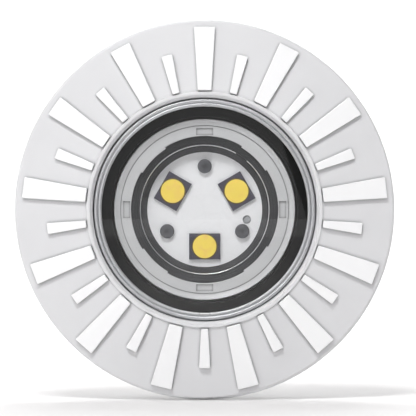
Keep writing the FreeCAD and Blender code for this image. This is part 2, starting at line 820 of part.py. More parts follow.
def make_heat_sink_screws():
    screw = countersunk_screw(heat_sink_front - screw_gap, sink_screw_length)
    return spread(screw, boss_circle_r, boss_first_angle, boss_count)


def board_holes(back, front):
    """Screw holes and pin hole through the board or the pad."""
    screw_hole = rod(m3_shank_r + screw_gap * 4, back, front)
    holes = spread(screw_hole, board_screw_circle_r, board_screw_first_angle, led_count)
    return holes + [placed(rod(pin_hole_r, back, front), board_screw_circle_r, pin_angle)]


def make_thermal_pad():
    pad = rod(board_r - pad_margin, heat_sink_front, board_back)
    window = rod(heat_sink_hole_r, heat_sink_front - overrun, board_back + overrun)
    return pad.cut(board_holes(heat_sink_front - overrun, board_back + overrun) + [window])


def make_led_board():
    holes = board_holes(board_back - overrun, board_front + overrun)
    return rod(board_r, board_back, board_front).cut(holes)


def make_led_packages():
    package = block(led_depth, led_width, board_front, board_front + led_thick)
    top = [edge for edge in package.Edges if edge.BoundBox.ZMin > board_front + led_thick - 0.01]
    return spread(package.makeFillet(led_edge_round, top), led_circle_r, led_first_angle, led_count)


def make_led_phosphors():
    base = board_front + led_thick
    dome = revolved(
        (0, base),
        (phosphor_r, base),
        (phosphor_r, base + phosphor_rise, phosphor_round),
        (0, base + phosphor_rise),
    )
    return spread(dome, led_circle_r, led_first_angle, led_count)


def make_board_screws():
    screw = pan_screw(board_front, board_screw_length)
    return spread(screw, board_screw_circle_r, board_screw_first_angle, led_count)


def make_locating_pin():
    pin = rod(pin_r, heat_sink_front - pin_depth, board_front - pin_recess)
    return placed(pin, board_screw_circle_r, pin_angle)


def make_baffle_cone():
    inner_r = board_r - baffle_lap
    return revolved(
        (inner_r, board_front),
        (baffle_r, board_front),
        (baffle_r, baffle_front, baffle_round),
        (baffle_r - baffle_top_wall, baffle_front, baffle_round),
        (inner_r, board_front + baffle_foot),
    )


def make_engine_cup():
    """Dark cup round the board, with a stepped mouth and a groove for the snap ring."""
    first_r = cup_bore_r + cup_tread * 2
    second_r = cup_bore_r + cup_tread
    return revolved(
        (cup_bore_r, heat_sink_front),
        (cup_r, heat_sink_front),
        (cup_r, cup_front),
        (first_r, cup_front, cup_step_round),
        (first_r, cup_front - cup_riser),
        (second_r, cup_front - cup_riser, cup_step_round),
        (second_r, cup_front - cup_riser * 2),
        (cup_bore_r, cup_front - cup_riser * 2, cup_step_round),
        (cup_bore_r, snap_groove_front),
        (cup_bore_r + snap_bite, snap_groove_front),
        (cup_bore_r + snap_bite, snap_groove_back),
        (cup_bore_r, snap_groove_back),
    )


def make_snap_ring():
    middle_r = cup_bore_r + snap_bite - seat_gap - snap_wire_r
    circle = Part.Circle(FreeCAD.Vector(middle_r, 0, snap_middle), FreeCAD.Vector(0, 1, 0), snap_wire_r)
    start = snap_opening_angle + snap_opening_deg / 2
    return turned([circle.toShape()], start, 360.0 - snap_opening_deg)


# ------------------------------------------------------------------ retaining ring

def make_retaining_ring():
    """Light grey ring that twists onto the spigot and holds the cup down."""
    band_r = ring_groove_r + ring_groove_width
    band_front = ring_plate_front + ring_band_rise
    ring = revolved(
        (ring_bore_r, ring_plate_back),
        (ring_skirt_bore_r, ring_plate_back),
        (ring_skirt_bore_r, ring_lug_back),
        (ring_r, ring_lug_back, crisp_round),
        (ring_r, band_front, crisp_round),
        (ring_r - ring_band_rim, band_front),
        (band_r + ring_band_foot, ring_plate_front + ring_band_foot_rise, ring_band_hollow),
        (band_r, ring_plate_front),
        (band_r, ring_plate_front - ring_groove_depth),
        (ring_groove_r, ring_plate_front - ring_groove_depth),
        (ring_groove_r, ring_plate_front),
        (ring_bore_r, ring_plate_front, crisp_round),
    )
    added = []
    root_r = ring_skirt_bore_r + ring_skirt_wall / 2
    tab_r = ring_bore_r - ring_tab_reach
    tab_root_r = ring_bore_r + ring_cover / 2
    for angle in angles(ring_lug_first_angle, ring_lug_count):
        added.append(sector(ring_lug_inner_r, root_r, ring_lug_back, ring_lug_front, angle, ring_lug_deg))
        added.append(sector(tab_r, tab_root_r, ring_plate_back, ring_plate_front, angle, ring_lug_deg))
    ring = ring.fuse(added).removeSplitter()
    floor = ring_plate_front - ring_slot_depth
    inner_r = ring_bore_r + ring_slot_wall
    slot = block(ring_slot_length, ring_slot_width, floor, ring_plate_front + overrun)
    return ring.cut(spread(slot, inner_r + ring_slot_length / 2, 0, 4))


# ------------------------------------------------------------------ driver

def make_driver_standoffs():
    body = hexagon(standoff_flats, driver_board_front, heat_sink_back)
    stud = rod(m3_shank_r, heat_sink_back, heat_sink_back + standoff_stud_length)
    tapped_end = driver_board_front + driver_screw_length
    tapped = rod(m3_shank_r + screw_gap, driver_board_front - overrun, tapped_end)
    standoff = body.fuse(stud).cut(tapped)
    return spread(standoff, standoff_circle_r, standoff_first_angle, standoff_count)


def make_driver_board():
    board = rod(driver_board_r, driver_board_back, driver_board_front)
    hole = rod(m3_shank_r + screw_gap * 4, driver_board_back - overrun, driver_board_front + overrun)
    return board.cut(spread(hole, standoff_circle_r, standoff_first_angle, standoff_count))


def make_driver_screws():
    screw = pan_screw(driver_board_back, driver_screw_length, up=-1)
    return spread(screw, standoff_circle_r, standoff_first_angle, standoff_count)


def make_driver_choke():
    front = driver_board_front + choke_thick
    choke = revolved(
        (choke_hole_r, driver_board_front, choke_round),
        (choke_r, driver_board_front, choke_round),
        (choke_r, front, choke_round),
        (choke_hole_r, front, choke_round),
    )
    return placed(choke, driver_board_r - choke_inset, 180)


def make_driver_capacitors():
    can = revolved(
        (0, driver_board_front),
        (capacitor_r, driver_board_front, edge_round),
        (capacitor_r, driver_board_front + capacitor_height, edge_round),
        (0, driver_board_front + capacitor_height),
    )
    return [placed(can, driver_board_r - capacitor_inset, angle) for angle in capacitor_angles]


def on_driver_board(size, y):
    """Box-shaped component standing on the driver board's front."""
    return block(size[0], size[1], driver_board_front, driver_board_front + size[2], y=y)


def terminal_places():
    """(y, near height, far height) of the output block in front and the input block behind."""
    height = terminal_size[2]
    return [
        (0.0, driver_board_front, driver_board_front + height),
        (driver_board_r - terminal_inset, driver_board_back, driver_board_back - height),
    ]


def terminal_screw_places():
    """(x, y) of a block's two screws, from its middle."""
    return [(side * terminal_screw_pitch / 2, -terminal_size[1] / 4) for side in (-1, 1)]


def make_terminal_blocks():
    blocks = []
    depth = terminal_screw_sunk + terminal_screw_length
    for y, near, far in terminal_places():
        body = block(terminal_size[0], terminal_size[1], min(near, far), max(near, far), y=y)
        for x, from_middle in terminal_screw_places():
            hole = rod(terminal_screw_r + seat_gap, far - depth, far + depth, x, y + from_middle)
            body = body.cut(hole)
        blocks.append(body)
    return blocks


def make_terminal_screws():
    screws = []
    for y, near, far in terminal_places():
        inwards = math.copysign(1, near - far)
        outer = far + inwards * terminal_screw_sunk
        inner = outer + inwards * terminal_screw_length
        for x, from_middle in terminal_screw_places():
            screw = rod(terminal_screw_r, min(inner, outer), max(inner, outer), x, y + from_middle)
            screws.append(screw)
    return screws


def make_board_socket():
    return block(socket_size[0], socket_size[1], board_back - socket_size[2], board_back)


def make_led_leads():
    """Two short wires from the LED board's socket to the driver's output block."""
    low = driver_board_front + terminal_size[2]
    high = board_back - socket_size[2]
    y = terminal_size[1] / 4
    return [rod(lead_r, low, high, side * lead_pitch / 2, y) for side in (-1, 1)]


# ------------------------------------------------------------------ cable gland

def make_gland_body():
    stub_front = housing_rear_inside + gland_stub_length
    flange = hexagon(gland_flange_flats, gland_flange_back, gland_flange_front)
    core = revolved(
        (cable_way_r, stub_front),
        (gland_thread_r, stub_front, edge_round),
        (gland_thread_r, gland_flange_front),
        (gland_thread_r, gland_flange_back),
        (gland_tube_r, gland_flange_back),
        (gland_tube_r, gland_tube_back, edge_round),
        (gland_tube_bore_r, gland_tube_back),
        (gland_tube_bore_r, gland_seal_front + seat_gap),
        (cable_way_r, gland_seal_front + seat_gap),
    )
    hole = rod(gland_tube_r, gland_flange_back - overrun, gland_flange_front + overrun)
    return core.fuse(flange.cut(hole)).removeSplitter()


def make_gland_o_ring():
    inner_r = gland_thread_r + seat_gap
    outer_r = inner_r + o_ring_width
    return revolved(
        (inner_r, gland_flange_front, edge_round),
        (outer_r, gland_flange_front, edge_round),
        (outer_r, housing_rear, edge_round),
        (inner_r, housing_rear, edge_round),
    )


def make_gland_locknut():
    front = housing_rear_inside + locknut_thick
    nut = hexagon(locknut_flats, housing_rear_inside, front)
    return nut.cut(rod(gland_thread_r + seat_gap, housing_rear_inside - overrun, front + overrun))


def make_gland_seal():
    outer_r = gland_tube_bore_r - seat_gap
    return revolved(
        (cable_r, gland_seal_back),
        (outer_r, gland_seal_back, rubber_round),
        (outer_r, gland_seal_front, edge_round),
        (cable_r, gland_seal_front),
    )


def make_gland_washer():
    return revolved(
        (cable_way_r, gland_washer_back),
        (gland_washer_r, gland_washer_back),
        (gland_washer_r, gland_washer_front),
        (cable_way_r, gland_washer_front),
    )


def make_gland_nut():
    front = gland_flange_back - turning_gap * 2
    corner_r = gland_nut_flats / math.sqrt(3)
    mouth_r = cable_way_r + gland_nut_mouth
    crown_width, crown_height = gland_nut_crown
    chamfer_width, chamfer_height = gland_nut_chamfer
    envelope = revolved(
        (mouth_r, gland_nut_back, crisp_round),
        (corner_r - crown_width, gland_nut_back, gland_nut_crown_round),
        (corner_r, gland_nut_back + crown_height, gland_nut_crown_round),
        (corner_r, front - chamfer_height),
        (corner_r - chamfer_width, front),
        (gland_nut_bore_r, front),
        (gland_nut_bore_r, gland_nut_seat),
        (mouth_r, gland_nut_seat),
    )
    return envelope.common(hexagon(gland_nut_flats, gland_nut_back - overrun, front + overrun))


# ------------------------------------------------------------------ write every piece

def main():
    os.makedirs("parts", exist_ok=True)
    save("wall_flange", make_wall_flange())
    save("wall_collar", make_wall_collar())
    save("wall_gasket", make_wall_gasket())
    save("face_trim", make_face_trim())
    save("lens_bezel", make_lens_bezel())
    save("index_key", make_index_key())
    save("lens", make_lens())
    save("lens_gasket", make_lens_gasket())
    save("seat_gasket", make_seat_gasket())
    save("lamp_housing", make_lamp_housing())
    save("heat_sink", make_heat_sink())
    save("heat_sink_screws", *make_heat_sink_screws())
    save("thermal_pad", make_thermal_pad())
    save("led_board", make_led_board())
    save("led_packages", *make_led_packages())
    save("led_phosphors", *make_led_phosphors())
    save("board_screws", *make_board_screws())
    save("locating_pin", make_locating_pin())
    save("baffle_cone", make_baffle_cone())
    save("engine_cup", make_engine_cup())
    save("snap_ring", make_snap_ring())
    save("retaining_ring", make_retaining_ring())
    save("driver_standoffs", *make_driver_standoffs())
    save("driver_board", make_driver_board())
    save("driver_screws", *make_driver_screws())
    save("driver_choke", make_driver_choke())
    save("driver_capacitors", *make_driver_capacitors())
    save("bridge_rectifier", on_driver_board(rectifier_size, driver_board_r - rectifier_inset))
    save("driver_chip", on_driver_board(chip_size, chip_inset - driver_board_r))
    save("terminal_blocks", *make_terminal_blocks())
    save("terminal_screws", *make_terminal_screws())
    save("board_socket", make_board_socket())
    save("led_leads", *make_led_leads())
    save("gland_body", make_gland_body())
    save("gland_o_ring", make_gland_o_ring())
    save("gland_locknut", make_gland_locknut())
    save("gland_seal", make_gland_seal())
    save("gland_washer", make_gland_washer())
    save("gland_nut", make_gland_nut())


main()
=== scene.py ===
# %% [markdown]
# # Underwater pool light
#
# The light stands on the edge of its white face trim and looks at the viewer, as it would on
# a product table. Its shape is finished already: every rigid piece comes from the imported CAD
# model. What is left is what a maker would call finishing: what each piece is made of, how its
# surface was made, the few pieces too fine for CAD, and the studio round it.
#
# Everything is in metres, in the light's own frame: the pool is towards -Y, up is +Z and the
# origin is where the lamp's axis meets the wall.

import math

import bmesh
import bpy
from mathutils import Matrix, Vector


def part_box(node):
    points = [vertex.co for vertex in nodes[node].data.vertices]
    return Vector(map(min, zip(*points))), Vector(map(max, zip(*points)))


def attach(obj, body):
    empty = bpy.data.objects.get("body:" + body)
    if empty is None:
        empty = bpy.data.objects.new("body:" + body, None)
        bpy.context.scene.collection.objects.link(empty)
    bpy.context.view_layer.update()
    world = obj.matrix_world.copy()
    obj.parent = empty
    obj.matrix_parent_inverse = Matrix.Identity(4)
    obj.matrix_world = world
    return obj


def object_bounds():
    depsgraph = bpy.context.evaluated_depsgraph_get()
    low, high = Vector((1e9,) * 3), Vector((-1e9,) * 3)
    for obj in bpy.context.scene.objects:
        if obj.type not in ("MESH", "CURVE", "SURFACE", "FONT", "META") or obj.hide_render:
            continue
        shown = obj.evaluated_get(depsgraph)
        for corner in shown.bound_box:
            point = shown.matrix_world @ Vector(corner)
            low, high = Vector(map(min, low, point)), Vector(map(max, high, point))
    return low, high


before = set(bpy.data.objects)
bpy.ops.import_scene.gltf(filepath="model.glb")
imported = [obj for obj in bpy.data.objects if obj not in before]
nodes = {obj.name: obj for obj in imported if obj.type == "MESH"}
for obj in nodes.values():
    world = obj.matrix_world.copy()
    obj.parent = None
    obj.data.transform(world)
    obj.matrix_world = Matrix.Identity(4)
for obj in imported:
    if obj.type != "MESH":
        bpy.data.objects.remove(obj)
cad_low, cad_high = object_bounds()
MM = 0.001
print("CAD box, mm:", [round(side / MM, 1) for side in cad_high - cad_low])

# %% [markdown]
# ## Colour and node helpers
#
# A colour picker shows sRGB numbers, but the renderer works in linear light, so one function
# turns the hex text that a designer would write into linear values. A second one adds a
# shader node, sets its properties and links its inputs. With these two, each material reads
# like a list of what the surface is. A third turns a real size into a texture scale, because
# a noise of scale s repeats about s times in a metre. A fourth paints shade into narrow
# corners, where light hardly reaches: that painted grey line is how the eye finds a slot
# or a rib's edge on a pale moulding.

# %% Helpers for materials


def linear(hex_text):
    """RGBA in linear light from sRGB hex text."""
    channels = [int(hex_text[i:i + 2], 16) / 255 for i in (1, 3, 5)]
    curve = [c / 12.92 if c <= 0.04045 else ((c + 0.055) / 1.055) ** 2.4 for c in channels]
    return (*curve, 1.0)


def put(tree, kind, inputs=None, **settings):
    """Adds a node. Its inputs are plain values, or other nodes' sockets to link from."""
    node = tree.nodes.new(kind)
    for name, value in settings.items():
        setattr(node, name, value)
    for name, value in (inputs or {}).items():
        if isinstance(value, bpy.types.NodeSocket):
            tree.links.new(value, node.inputs[name])
        else:
            node.inputs[name].default_value = value
    return node


def scale_for(size_mm):
    """Texture scale that makes features of about this size."""
    return 1 / (size_mm * MM)


def new_material(name):
    """Empty node material, with object coordinates to start its patterns from."""
    material = bpy.data.materials.new(name)
    material.use_nodes = True
    tree = material.node_tree
    tree.nodes.clear()
    place = put(tree, "ShaderNodeTexCoord").outputs["Object"]
    return material, tree, place


def show(tree, shader):
    """Ends a material's tree."""
    put(tree, "ShaderNodeOutputMaterial", {"Surface": shader})


corner_rays = 8          # rays that feel for nearby faces, for each sample
painted_shade_hex = "#2C2D30"   # painted shade: colour of a corner that nothing reaches
closed, open_sky = 0.4, 0.95


def paint_corner_shade(tree, colour, reach_mm, strength=0.6):
    """Painted shade: colour that darkens where other faces closer than the reach block the light.
    """
    openness = put(tree, "ShaderNodeAmbientOcclusion", {
        "Distance": reach_mm * MM,
    }, samples=corner_rays)
    corner = put(tree, "ShaderNodeMapRange", {
        "Value": openness.outputs["AO"], "From Min": closed, "From Max": open_sky,
        "To Min": strength, "To Max": 0.0,
    })
    mix = put(tree, "ShaderNodeMixRGB", {
        "Fac": corner.outputs["Result"], "Color1": colour, "Color2": linear(painted_shade_hex),
    })
    return mix.outputs["Color"]


made = {}
print("paper white in linear light:", [round(c, 3) for c in linear("#F2F3F5")])

# %% [markdown]
# ## Moulded plastic
#
# Most of the light is injection-moulded: the white ABS trim and wall ring, the light grey
# retaining ring and housing, and the dark cup round the LEDs. A moulding copies the steel
# tool, so its surface has a very fine even grain from spark erosion, and the melt leaves a
# faint cloudiness a centimetre or two across. Colour could be one flat value, but two close
# tones mixed by a slow noise, a roughness that drifts with it and a fine bump are what make
# plastic look like plastic. The grain is really about 0.05 mm, too fine to show, so it is
# drawn a few times coarser.

# %% Moulded plastic
cloud_mm = 18            # faint cloudiness from the melt's flow
drift_mm = 6             # patches of slightly different gloss
fine_grain_mm = 0.35
grain_height_mm = 0.006  # depth of the spark-eroded grain
abs_ior = 1.53
corner_mm = 1.0


def moulded(name, main_hex, cloud_hex, rough=(0.36, 0.46), grain_mm=fine_grain_mm):
    material, tree, place = new_material(name)
    cloud = put(tree, "ShaderNodeTexNoise", {
        "Vector": place, "Scale": scale_for(cloud_mm), "Detail": 3.0,
    })
    mix = put(tree, "ShaderNodeMixRGB", {
        "Fac": cloud.outputs["Fac"], "Color1": linear(main_hex), "Color2": linear(cloud_hex),
    })
    drift = put(tree, "ShaderNodeTexNoise", {
        "Vector": place, "Scale": scale_for(drift_mm), "Detail": 4.0,
    })
    roughness = put(tree, "ShaderNodeMapRange", {
        "Value": drift.outputs["Fac"], "From Min": 0.3, "From Max": 0.7,
        "To Min": rough[0], "To Max": rough[1],
    })
    grain = put(tree, "ShaderNodeTexNoise", {
        "Vector": place, "Scale": scale_for(grain_mm), "Detail": 2.0,
    })
    bump = put(tree, "ShaderNodeBump", {
        "Height": grain.outputs["Fac"], "Strength": 0.6, "Distance": grain_height_mm * MM,
    })
    shader = put(tree, "ShaderNodeBsdfPrincipled", {
        # Painted shade: the colour is darkened in narrow corners.
        "Base Color": paint_corner_shade(tree, mix.outputs["Color"], corner_mm),
        "Roughness": roughness.outputs["Result"], "Normal": bump.outputs["Normal"],
        "IOR": abs_ior,
    })
    show(tree, shader.outputs["BSDF"])
    return material


made["wall_abs"] = moulded("moulded_wall_abs", "#E9EAEA", "#DFE1E2", rough=(0.42, 0.55))
made["grey_abs"] = moulded("moulded_light_grey_abs", "#D2D3D4", "#CBCCCE", rough=(0.3, 0.42))
made["dark_nylon"] = moulded("moulded_dark_nylon", "#38393C", "#303134", rough=(0.5, 0.62))
made["black_nylon"] = moulded(
    "moulded_black_nylon", "#1D1E20", "#242527", rough=(0.4, 0.52), grain_mm=0.5,
)
made["white_key"] = moulded("moulded_white_key", "#F5F5F5", "#EDEDEE")
made["white_nylon"] = moulded("moulded_socket_nylon", "#E6E3DA", "#DEDACF")
made["green_nylon"] = moulded("moulded_terminal_nylon", "#3E8F6B", "#37845F")
made["acetal"] = moulded("moulded_acetal", "#C8CACA", "#BDC0C0", rough=(0.28, 0.36))
made["black_epoxy"] = moulded("cast_black_epoxy", "#191A1B", "#202122", rough=(0.3, 0.4))
print("moulded finishes:", len(made))

# %% [markdown]
# ## The face trim's two textures
#
# The face trim is one white ABS moulding, but its tool was finished twice. The cone between
# the ribs is spark-eroded to a fine grain and rougher; its colour is painted a shade greyer,
# which is painted shade for the cone sunk between the ribs. The tops of the ribs and the lip
# were polished, so they stay pure white and a little glossy. That step is what makes the rays
# stand out from a white disc. The material works out how far each point stands in front of the
# cone and blends the two textures and the painted shade by it. The three numbers that describe
# the cone are the moulding's own, and the blend is wide enough to hide a rib's rounded edge.

# %% Two-texture white ABS with painted shade
cone_front = 10.97 * MM   # cone's height above the wall at the ribs' inner ends
cone_start = 52.9 * MM    # radius where the ribs begin
cone_fall = 0.184         # drop of the cone for each unit of radius
polished_from = 0.6 * MM  # the polish starts this far in front of the cone
polished_to = 1.4 * MM
rib_corner_mm = 1.5


def polished_ribs_on_shaded_cone():
    material, tree, place = new_material("white_abs_with_painted_shade")
    flat = put(tree, "ShaderNodeVectorMath", {0: place, 1: (1, 0, 1)}, operation="MULTIPLY")
    radius = put(tree, "ShaderNodeVectorMath", {0: flat.outputs["Vector"]}, operation="LENGTH")
    depth = put(tree, "ShaderNodeSeparateXYZ", {"Vector": place})
    fall = put(tree, "ShaderNodeMath", {
        0: radius.outputs["Value"], 1: cone_fall, 2: -cone_front - cone_start * cone_fall,
    }, operation="MULTIPLY_ADD")
    stand = put(tree, "ShaderNodeMath", {
        0: fall.outputs["Value"], 1: depth.outputs["Y"],
    }, operation="SUBTRACT")
    raised = put(tree, "ShaderNodeMapRange", {
        "Value": stand.outputs["Value"], "From Min": polished_from, "From Max": polished_to,
    }, interpolation_type="SMOOTHSTEP")
    cloud = put(tree, "ShaderNodeTexNoise", {
        "Vector": place, "Scale": scale_for(cloud_mm), "Detail": 3.0,
    })
    # Painted shade: the cone between the ribs is a greyer white than the rib tops.
    shaded_ground = put(tree, "ShaderNodeMixRGB", {
        "Fac": cloud.outputs["Fac"], "Color1": linear("#E0E0E2"), "Color2": linear("#DBDBDD"),
    })
    tone = put(tree, "ShaderNodeMixRGB", {
        "Fac": raised.outputs["Result"], "Color1": shaded_ground.outputs["Color"],
        "Color2": linear("#FBFBFC"),
    })
    roughness = put(tree, "ShaderNodeMapRange", {
        "Value": raised.outputs["Result"], "To Min": 0.52, "To Max": 0.34,
    })
    grain = put(tree, "ShaderNodeTexNoise", {
        "Vector": place, "Scale": scale_for(fine_grain_mm), "Detail": 2.0,
    })
    bump = put(tree, "ShaderNodeBump", {
        "Height": grain.outputs["Fac"], "Strength": 0.6, "Distance": grain_height_mm * MM,
    })
    # Painted shade also darkens the corners at the ribs' feet.
    shader = put(tree, "ShaderNodeBsdfPrincipled", {
        "Base Color": paint_corner_shade(tree, tone.outputs["Color"], rib_corner_mm, 0.5),
        "Roughness": roughness.outputs["Result"], "Normal": bump.outputs["Normal"],
        "IOR": abs_ior,
    })
    show(tree, shader.outputs["BSDF"])
    return material


made["white_abs"] = polished_ribs_on_shaded_cone()
print("trim material:", made["white_abs"].name)

# %% [markdown]
# ## Lamp housing
#
# The housing is light grey nylon with glass fibre in it, which rises to the surface in places
# and makes the grain coarser. Its bore in front of the heat sink is painted near black: this is
# painted shade for the deep gap round the lens, where light hardly reaches. The painted part is
# found by its place: inside the bore's radius and in front of the heat sink.

# %% Housing with painted shade in its bore
painted_shade_radius = 41.9 * MM
painted_shade_depth = 9.0 * MM


def housing_with_painted_bore_shade():
    material = moulded(
        "glass_filled_nylon", "#B7BBBF", "#A9AEB3", rough=(0.45, 0.6), grain_mm=0.6,
    )
    tree = material.node_tree
    place = tree.nodes["Texture Coordinate"].outputs["Object"]
    shader = tree.nodes["Principled BSDF"]
    nylon = shader.inputs["Base Color"].links[0].from_socket
    flat = put(tree, "ShaderNodeVectorMath", {0: place, 1: (1, 0, 1)}, operation="MULTIPLY")
    radius = put(tree, "ShaderNodeVectorMath", {0: flat.outputs["Vector"]}, operation="LENGTH")
    depth = put(tree, "ShaderNodeSeparateXYZ", {"Vector": place})
    inside = put(tree, "ShaderNodeMath", {
        0: radius.outputs["Value"], 1: painted_shade_radius,
    }, operation="LESS_THAN")
    in_front = put(tree, "ShaderNodeMath", {
        0: depth.outputs["Y"], 1: painted_shade_depth,
    }, operation="LESS_THAN")
    both = put(tree, "ShaderNodeMath", {
        0: inside.outputs["Value"], 1: in_front.outputs["Value"],
    }, operation="MULTIPLY")
    # Painted shade: the bore's colour is set near black where the gap round the lens is in shade.
    painted_bore_shade = put(tree, "ShaderNodeMixRGB", {
        "Fac": both.outputs["Value"], "Color1": nylon, "Color2": linear("#141416"),
    })
    tree.links.new(painted_bore_shade.outputs["Color"], shader.inputs["Base Color"])
    return material


made["housing_nylon"] = housing_with_painted_bore_shade()
print("housing material:", made["housing_nylon"].name)

# %% [markdown]
# ## Rubber
#
# The gaskets and the O-ring are black synthetic rubber, and the gland's seal is neoprene.
# Cured rubber scatters light softly, keeps a little pale bloom from its mould release, and
# has almost no gleam. A high roughness, a low specular level and a fleck of lighter grey do
# that. The flecks are about 2 mm, as they gather on a real gasket.

# %% Rubber
fleck_mm = 2.0


def cured_rubber(name, main_hex, bloom_hex, rough=0.62):
    material, tree, place = new_material(name)
    fleck = put(tree, "ShaderNodeTexNoise", {
        "Vector": place, "Scale": scale_for(fleck_mm), "Detail": 2.0,
    })
    bloom = put(tree, "ShaderNodeMapRange", {
        "Value": fleck.outputs["Fac"], "From Min": 0.55, "From Max": 0.8, "To Max": 0.6,
    })
    mix = put(tree, "ShaderNodeMixRGB", {
        "Fac": bloom.outputs["Result"], "Color1": linear(main_hex), "Color2": linear(bloom_hex),
    })
    bump = put(tree, "ShaderNodeBump", {
        "Height": fleck.outputs["Fac"], "Strength": 0.3, "Distance": 0.02 * MM,
    })
    shader = put(tree, "ShaderNodeBsdfPrincipled", {
        "Base Color": mix.outputs["Color"], "Roughness": rough,
        "Normal": bump.outputs["Normal"], "IOR": 1.5, "Specular IOR Level": 0.12,
    })
    show(tree, shader.outputs["BSDF"])
    return material


made["epdm"] = cured_rubber("cured_black_epdm", "#080809", "#0E0E0F")
made["neoprene"] = cured_rubber("cured_neoprene", "#1B1C1D", "#26272A")
made["silicone_pad"] = cured_rubber("filled_silicone_pad", "#8F9CA8", "#A4AFB8", rough=0.7)
print("finishes so far:", len(made))

# %% [markdown]
# ## Turned and brushed metal
#
# The bezel is rolled from stainless strip and polished as it spins, so its fine scratches run
# round the lamp. Rings about the lamp's axis, broken up by noise, drive a small bump, and a
# tangent that runs round the axis stretches the highlights across the scratches. The
# scratches are a few hundredths of a millimetre apart in life and are drawn at 0.3 mm so that
# they show. The same function makes the turned aluminium, the wire and the screws.

# %% Metal
WAVE_TURN = math.tau / 20  # a wave texture of scale 1 repeats every 0.314 m
scratch_mm = 0.3
scratch_height_mm = 0.004
smudge_mm = 7


def turned_metal(name, main_hex, worn_hex, rough=(0.26, 0.38), stretch=0.5):
    material, tree, place = new_material(name)
    rings = put(tree, "ShaderNodeTexWave", {
        "Vector": place, "Scale": scale_for(scratch_mm) * WAVE_TURN,
        "Distortion": 1.5, "Detail": 3.0, "Detail Scale": 4.0,
    }, wave_type="RINGS", rings_direction="Y")
    smudge = put(tree, "ShaderNodeTexNoise", {
        "Vector": place, "Scale": scale_for(smudge_mm), "Detail": 4.0,
    })
    mix = put(tree, "ShaderNodeMixRGB", {
        "Fac": smudge.outputs["Fac"], "Color1": linear(main_hex), "Color2": linear(worn_hex),
    })
    roughness = put(tree, "ShaderNodeMapRange", {
        "Value": smudge.outputs["Fac"], "From Min": 0.3, "From Max": 0.7,
        "To Min": rough[0], "To Max": rough[1],
    })
    bump = put(tree, "ShaderNodeBump", {
        "Height": rings.outputs["Fac"], "Strength": 0.5, "Distance": scratch_height_mm * MM,
    })
    round_the_axis = put(tree, "ShaderNodeTangent", direction_type="RADIAL", axis="Y")
    shader = put(tree, "ShaderNodeBsdfPrincipled", {
        "Base Color": mix.outputs["Color"], "Metallic": 1.0,
        "Roughness": roughness.outputs["Result"],
        "Anisotropic": stretch, "Tangent": round_the_axis.outputs["Tangent"],
        "Normal": bump.outputs["Normal"],
    })
    show(tree, shader.outputs["BSDF"])
    return material


made["stainless"] = turned_metal("brushed_stainless", "#C9CACC", "#BFC0C3", rough=(0.46, 0.54))
made["spring_steel"] = turned_metal(
    "drawn_spring_steel", "#E4E5E6", "#D6D7D9", rough=(0.28, 0.36), stretch=0.2,
)
made["black_oxide"] = turned_metal(
    "black_oxide_steel", "#77787C", "#6A6B6F", rough=(0.4, 0.55), stretch=0.1,
)
made["aluminium"] = turned_metal(
    "blasted_aluminium", "#C9CBCE", "#BCBEC2", rough=(0.45, 0.55), stretch=0.1,
)
made["brass"] = turned_metal("turned_brass", "#C9A75A", "#B99849", rough=(0.25, 0.35))
made["plated_steel"] = turned_metal(
    "plated_steel", "#BEC0C3", "#AEB1B5", rough=(0.25, 0.35), stretch=0.2,
)
print("finishes so far:", len(made))

# %% [markdown]
# ## Clear lens
#
# The lens is thick, clear and almost flat, so what is behind it is hardly bent. Real glass
# shading would trap the studio's light and leave the LEDs dark and grainy. A see-through
# shader that mirrors more at grazing angles, by the Fresnel law for polycarbonate (IOR 1.58),
# lets the lamps in and keeps the gleam. Only the side that a ray meets first mirrors: a ray
# that isn't bent would be trapped at the other side, which real light is not. The polish has
# a slight long-wave ripple, which stops the reflections from being perfectly straight. The
# dome is so flat that the mesh's own facets would show in it, so its slope at each point is
# worked out from the sphere that the dome is a part of.

# %% Clear lens
crown_depth = -10.0 * MM   # where the top of the dome stands, along the lamp's axis
ball_radius = 846 * MM     # radius of the sphere that the dome is a part of
lens_ior = 1.58
ripple_mm = 30


def clear_polycarbonate():
    material, tree, place = new_material("clear_polycarbonate")
    outwards = put(tree, "ShaderNodeVectorMath", {
        0: place, 1: (0, crown_depth + ball_radius, 0),
    }, operation="SUBTRACT")
    true_normal = put(tree, "ShaderNodeVectorTransform", {
        "Vector": outwards.outputs["Vector"],
    }, vector_type="NORMAL", convert_from="OBJECT", convert_to="WORLD")
    ripple = put(tree, "ShaderNodeTexNoise", {
        "Vector": place, "Scale": scale_for(ripple_mm), "Detail": 1.0,
    })
    bump = put(tree, "ShaderNodeBump", {
        "Height": ripple.outputs["Fac"], "Strength": 0.2, "Distance": 0.02 * MM,
        "Normal": true_normal.outputs["Vector"],
    })
    mirror = put(tree, "ShaderNodeFresnel", {"IOR": lens_ior, "Normal": bump.outputs["Normal"]})
    side = put(tree, "ShaderNodeNewGeometry")
    from_front = put(tree, "ShaderNodeMapRange", {
        "Value": side.outputs["Backfacing"], "To Min": mirror.outputs["Fac"], "To Max": 0.0,
    })
    through = put(tree, "ShaderNodeBsdfTransparent", {"Color": linear("#FDFDFD")})
    gleam = put(tree, "ShaderNodeBsdfGlossy", {
        "Color": linear("#FFFFFF"), "Roughness": 0.015, "Normal": bump.outputs["Normal"],
    })
    both = put(tree, "ShaderNodeMixShader", {
        0: from_front.outputs["Result"], 1: through.outputs["BSDF"], 2: gleam.outputs["BSDF"],
    })
    show(tree, both.outputs["Shader"])
    return material


made["clear_lens"] = clear_polycarbonate()
print("lens material:", made["clear_lens"].name)

# %% [markdown]
# ## Circuit boards
#
# The LED board is an aluminium core under white solder mask, a printed enamel-like lacquer.
# It is smooth with a slight orange peel, and copper under it stands up by a few hundredths of
# a millimetre, so wide tracks show as soft islands. The driver board is glass-epoxy under
# green mask and has the same build-up.

# %% Solder mask
island_mm = 9  # width of the copper islands under the lacquer
peel_mm = 0.7


